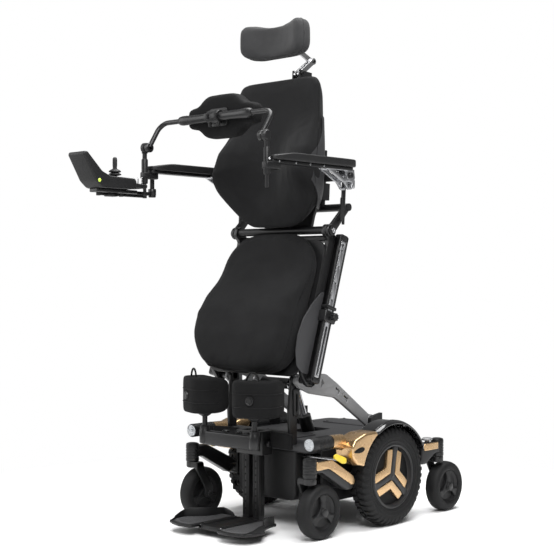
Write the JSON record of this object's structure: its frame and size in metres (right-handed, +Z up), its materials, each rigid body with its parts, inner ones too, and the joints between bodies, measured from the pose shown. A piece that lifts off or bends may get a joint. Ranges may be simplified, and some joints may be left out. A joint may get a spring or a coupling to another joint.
{
  "type": "standing power wheelchair",
  "caption": "Standing power wheelchair in its raised pose: sprung wheeled base, lift arm, padded seat and back, headrest, chest and knee supports, armrests, joystick and footplates.",
  "frame": {"origin": "on the floor under the middle of the overall box", "axes": "+X is the occupant's left, -Y is forward, +Z is up"},
  "size_m": [0.69, 1.4, 1.7937],
  "materials": {
    "frame_black": "satin black powder coat",
    "base_cover": "moulded, fine texture",
    "battery_case": "moulded",
    "motor": "cast, matt",
    "fender": "polished",
    "gold": "metallic gold paint under clear coat",
    "lamp_body": "moulded with ribs",
    "lamp_lens": "clear",
    "lever": "moulded",
    "caster": "moulded tread on a plastic wheel",
    "tyre": "moulded tread",
    "rim": "moulded",
    "lift_grey": "satin grey paint",
    "actuator_tube": "satin",
    "actuator_rod": "polished",
    "seat_rail": "black anodised with a bare slotted strip",
    "seat_pan": "moulded",
    "back_shell": "moulded",
    "cushion": "stretch fabric over foam",
    "arm_pad": "soft moulded foam",
    "head_link": "brushed",
    "arm_bracket": "dark anodised",
    "control": "moulded, fine texture",
    "gimbal": "moulded"
  },
  "bodies": {
    "chassis": {"chassis_frame": "frame_black", "base_shroud": "base_cover", "batteries": "battery_case", "drive_motors": "motor", "left_fender": "fender", "right_fender": "fender", "left_fender_cover": "gold", "right_fender_cover": "gold", "headlight_bodies": "lamp_body", "headlight_lenses": "lamp_lens"},
    "release_levers": {"release_levers": "lever"},
    "left_wheel": {"left_tyre": "tyre", "left_rim": "rim", "left_rim_inserts": "gold"},
    "right_wheel": {"right_tyre": "tyre", "right_rim": "rim", "right_rim_inserts": "gold"},
    "lift": {"lift_arm": "lift_grey"},
    "actuator_tube": {"lift_actuator_tube": "actuator_tube"},
    "actuator_rod": {"lift_actuator_rod": "actuator_rod"},
    "legs": {"leg_carrier": "frame_black", "calf_pads": "cushion"},
    "leg_column": {"leg_column": "frame_black"},
    "left_foot": {"left_footplate": "frame_black"},
    "right_foot": {"right_footplate": "frame_black"},
    "left_knee": {"left_knee_bracket": "frame_black", "left_knee_pad": "cushion"},
    "right_knee": {"right_knee_bracket": "frame_black", "right_knee_pad": "cushion"},
    "seat": {"seat_frame": "seat_rail", "left_seat_rail": "seat_rail", "right_seat_rail": "seat_rail", "seat_pan": "seat_pan", "seat_cushion": "cushion"},
    "back_carrier": {"back_carrier": "frame_black"},
    "back": {"back_shell": "back_shell", "back_cushion": "cushion"},
    "head_lower": {"headrest_lower_link": "head_link"},
    "head_upper": {"headrest_upper_link": "head_link"},
    "headrest": {"headrest_pad": "cushion"},
    "left_arm": {"left_arm_frame": "arm_bracket", "left_arm_pad": "arm_pad"},
    "right_arm": {"right_arm_frame": "arm_bracket", "right_arm_pad": "arm_pad"},
    "chest_bar": {"chest_bar": "frame_black"},
    "chest_pad": {"chest_pad": "cushion"},
    "control": {"control_arm": "arm_bracket", "control_panel": "control"},
    "gimbal": {"joystick_gimbal": "gimbal"},
    "joystick": {"joystick": "control"},
    "front_left_arm": {"front_left_arm": "frame_black"},
    "front_left_fork": {"front_left_fork": "frame_black"},
    "front_left_caster": {"front_left_caster": "caster"},
    "front_right_arm": {"front_right_arm": "frame_black"},
    "front_right_fork": {"front_right_fork": "frame_black"},
    "front_right_caster": {"front_right_caster": "caster"},
    "rear_left_arm": {"rear_left_arm": "frame_black"},
    "rear_left_fork": {"rear_left_fork": "frame_black"},
    "rear_left_caster": {"rear_left_caster": "caster"},
    "rear_right_arm": {"rear_right_arm": "frame_black"},
    "rear_right_fork": {"rear_right_fork": "frame_black"},
    "rear_right_caster": {"rear_right_caster": "caster"}
  },
  "joints": [
    {"name": "lever_turn", "type": "hinge", "parent": "chassis", "child": "release_levers", "pos_m": [0, -0.011, 0.255], "axis": [1, 0, 0], "range_deg": [0, 25]},
    {"name": "left_wheel_spin", "type": "hinge", "parent": "chassis", "child": "left_wheel", "pos_m": [0.302, 0.245, 0.175], "axis": [1, 0, 0], "continuous": true},
    {"name": "right_wheel_spin", "type": "hinge", "parent": "chassis", "child": "right_wheel", "pos_m": [-0.302, 0.245, 0.175], "axis": [1, 0, 0], "continuous": true},
    {"name": "front_left_suspension", "type": "hinge", "parent": "chassis", "child": "front_left_arm", "pos_m": [0.235, 0.127, 0.165], "axis": [1, 0, 0], "range_deg": [-2, 3], "stiffness_Nm_per_rad": 12000},
    {"name": "front_left_swivel", "type": "hinge", "parent": "front_left_arm", "child": "front_left_fork", "pos_m": [0.284, -0.15, 0.238], "axis": [0, 0, 1], "continuous": true},
    {"name": "front_left_roll", "type": "hinge", "parent": "front_left_fork", "child": "front_left_caster", "pos_m": [0.284, -0.105, 0.092], "axis": [1, 0, 0], "continuous": true},
    {"name": "front_right_suspension", "type": "hinge", "parent": "chassis", "child": "front_right_arm", "pos_m": [-0.235, 0.127, 0.165], "axis": [1, 0, 0], "range_deg": [-2, 3], "stiffness_Nm_per_rad": 12000},
    {"name": "front_right_swivel", "type": "hinge", "parent": "front_right_arm", "child": "front_right_fork", "pos_m": [-0.284, -0.15, 0.238], "axis": [0, 0, 1], "continuous": true},
    {"name": "front_right_roll", "type": "hinge", "parent": "front_right_fork", "child": "front_right_caster", "pos_m": [-0.284, -0.105, 0.092], "axis": [1, 0, 0], "continuous": true},
    {"name": "rear_left_suspension", "type": "hinge", "parent": "chassis", "child": "rear_left_arm", "pos_m": [0.235, 0.363, 0.165], "axis": [1, 0, 0], "range_deg": [-3, 2], "stiffness_Nm_per_rad": 12000},
    {"name": "rear_left_swivel", "type": "hinge", "parent": "rear_left_arm", "child": "rear_left_fork", "pos_m": [0.293, 0.563, 0.238], "axis": [0, 0, 1], "continuous": true},
    {"name": "rear_left_roll", "type": "hinge", "parent": "rear_left_fork", "child": "rear_left_caster", "pos_m": [0.293, 0.608, 0.092], "axis": [1, 0, 0], "continuous": true},
    {"name": "rear_right_suspension", "type": "hinge", "parent": "chassis", "child": "rear_right_arm", "pos_m": [-0.235, 0.363, 0.165], "axis": [1, 0, 0], "range_deg": [-3, 2], "stiffness_Nm_per_rad": 12000},
    {"name": "rear_right_swivel", "type": "hinge", "parent": "rear_right_arm", "child": "rear_right_fork", "pos_m": [-0.293, 0.563, 0.238], "axis": [0, 0, 1], "continuous": true},
    {"name": "rear_right_roll", "type": "hinge", "parent": "rear_right_fork", "child": "rear_right_caster", "pos_m": [-0.293, 0.608, 0.092], "axis": [1, 0, 0], "continuous": true},
    {"name": "lift_turn", "type": "hinge", "parent": "chassis", "child": "lift", "pos_m": [0, 0.318, 0.351], "axis": [1, 0, 0], "range_deg": [0, 15]},
    {"name": "seat_tilt", "type": "hinge", "parent": "lift", "child": "seat", "pos_m": [0, -0.073, 0.525], "axis": [1, 0, 0], "range_deg": [-87.4, 0]},
    {"name": "leg_level", "type": "hinge", "parent": "lift", "child": "legs", "pos_m": [0, -0.073, 0.525], "axis": [1, 0, 0], "range_deg": [-15, 0]},
    {"name": "leg_retract", "type": "slide", "parent": "legs", "child": "leg_column", "axis": [0, 0, 1], "range_m": [0, 0.11]},
    {"name": "back_level", "type": "hinge", "parent": "seat", "child": "back_carrier", "pos_m": [0, 0.02, 1.04], "axis": [1, 0, 0], "range_deg": [0, 72.4]},
    {"name": "back_glide", "type": "slide", "parent": "back_carrier", "child": "back", "axis": [0, 0.0645, 0.9979], "range_m": [0, 0.09]},
    {"name": "actuator_swing", "type": "hinge", "parent": "chassis", "child": "actuator_tube", "pos_m": [0, 0.205, 0.215], "axis": [1, 0, 0], "range_deg": [0, 11.4]},
    {"name": "actuator_stroke", "type": "slide", "parent": "actuator_tube", "child": "actuator_rod", "axis": [0, -0.3714, 0.9285], "range_m": [-0.043, 0]},
    {"name": "left_knee_height", "type": "slide", "parent": "legs", "child": "left_knee", "axis": [0, 0, 1], "range_m": [-0.03, 0]},
    {"name": "left_foot_fold", "type": "hinge", "parent": "leg_column", "child": "left_foot", "pos_m": [0.05, -0.241, 0.032], "axis": [0, 1, 0], "range_deg": [-80, 0]},
    {"name": "right_knee_height", "type": "slide", "parent": "legs", "child": "right_knee", "axis": [0, 0, 1], "range_m": [-0.03, 0]},
    {"name": "right_foot_fold", "type": "hinge", "parent": "leg_column", "child": "right_foot", "pos_m": [-0.05, -0.241, 0.032], "axis": [0, 1, 0], "range_deg": [0, 80]},
    {"name": "left_arm_raise", "type": "hinge", "parent": "back", "child": "left_arm", "pos_m": [0, 0.045, 1.228], "axis": [1, 0, 0], "range_deg": [-30, 0]},
    {"name": "right_arm_raise", "type": "hinge", "parent": "back", "child": "right_arm", "pos_m": [0, 0.045, 1.228], "axis": [1, 0, 0], "range_deg": [-30, 0]},
    {"name": "chest_bar_turn", "type": "hinge", "parent": "left_arm", "child": "chest_bar", "pos_m": [0, -0.37, 1.332], "axis": [1, 0, 0], "range_deg": [0, 110]},
    {"name": "chest_pad_tilt", "type": "hinge", "parent": "chest_bar", "child": "chest_pad", "pos_m": [0, -0.313, 1.421], "axis": [1, 0, 0], "range_deg": [-20, 20]},
    {"name": "control_swing", "type": "hinge", "parent": "right_arm", "child": "control", "pos_m": [-0.318, -0.315, 1.18], "axis": [0, 0, 1], "range_deg": [-90, 0]},
    {"name": "stick_pitch", "type": "hinge", "parent": "control", "child": "gimbal", "pos_m": [-0.295, -0.505, 1.213], "axis": [1, 0, 0], "range_deg": [-15, 15], "stiffness_Nm_per_rad": 0.6},
    {"name": "stick_roll", "type": "hinge", "parent": "gimbal", "child": "joystick", "pos_m": [-0.295, -0.505, 1.213], "axis": [0, 1, 0], "range_deg": [-15, 15], "stiffness_Nm_per_rad": 0.6},
    {"name": "head_lower_turn", "type": "hinge", "parent": "back", "child": "head_lower", "pos_m": [0, 0.11, 1.618], "axis": [1, 0, 0], "range_deg": [-10, 4]},
    {"name": "head_upper_turn", "type": "hinge", "parent": "head_lower", "child": "head_upper", "pos_m": [0, 0.183, 1.672], "axis": [1, 0, 0], "range_deg": [-10, 4]},
    {"name": "headrest_tilt", "type": "hinge", "parent": "head_upper", "child": "headrest", "pos_m": [0, 0.053, 1.726], "axis": [1, 0, 0], "range_deg": [-15, 15]}
  ],
  "couplings": [
    {"joint": "lift_turn", "follows": "seat_tilt", "ratio": -0.17162},
    {"joint": "leg_level", "follows": "seat_tilt", "ratio": 0.17162},
    {"joint": "leg_retract", "follows": "seat_tilt", "m_per_rad": -0.070145},
    {"joint": "back_level", "follows": "seat_tilt", "ratio": -0.82837},
    {"joint": "back_glide", "follows": "seat_tilt", "m_per_rad": -0.059},
    {"joint": "actuator_swing", "follows": "seat_tilt", "ratio": -0.12929},
    {"joint": "actuator_stroke", "follows": "seat_tilt", "m_per_rad": 0.027861},
    {"joint": "right_arm_raise", "follows": "left_arm_raise", "ratio": 1}
  ]
}
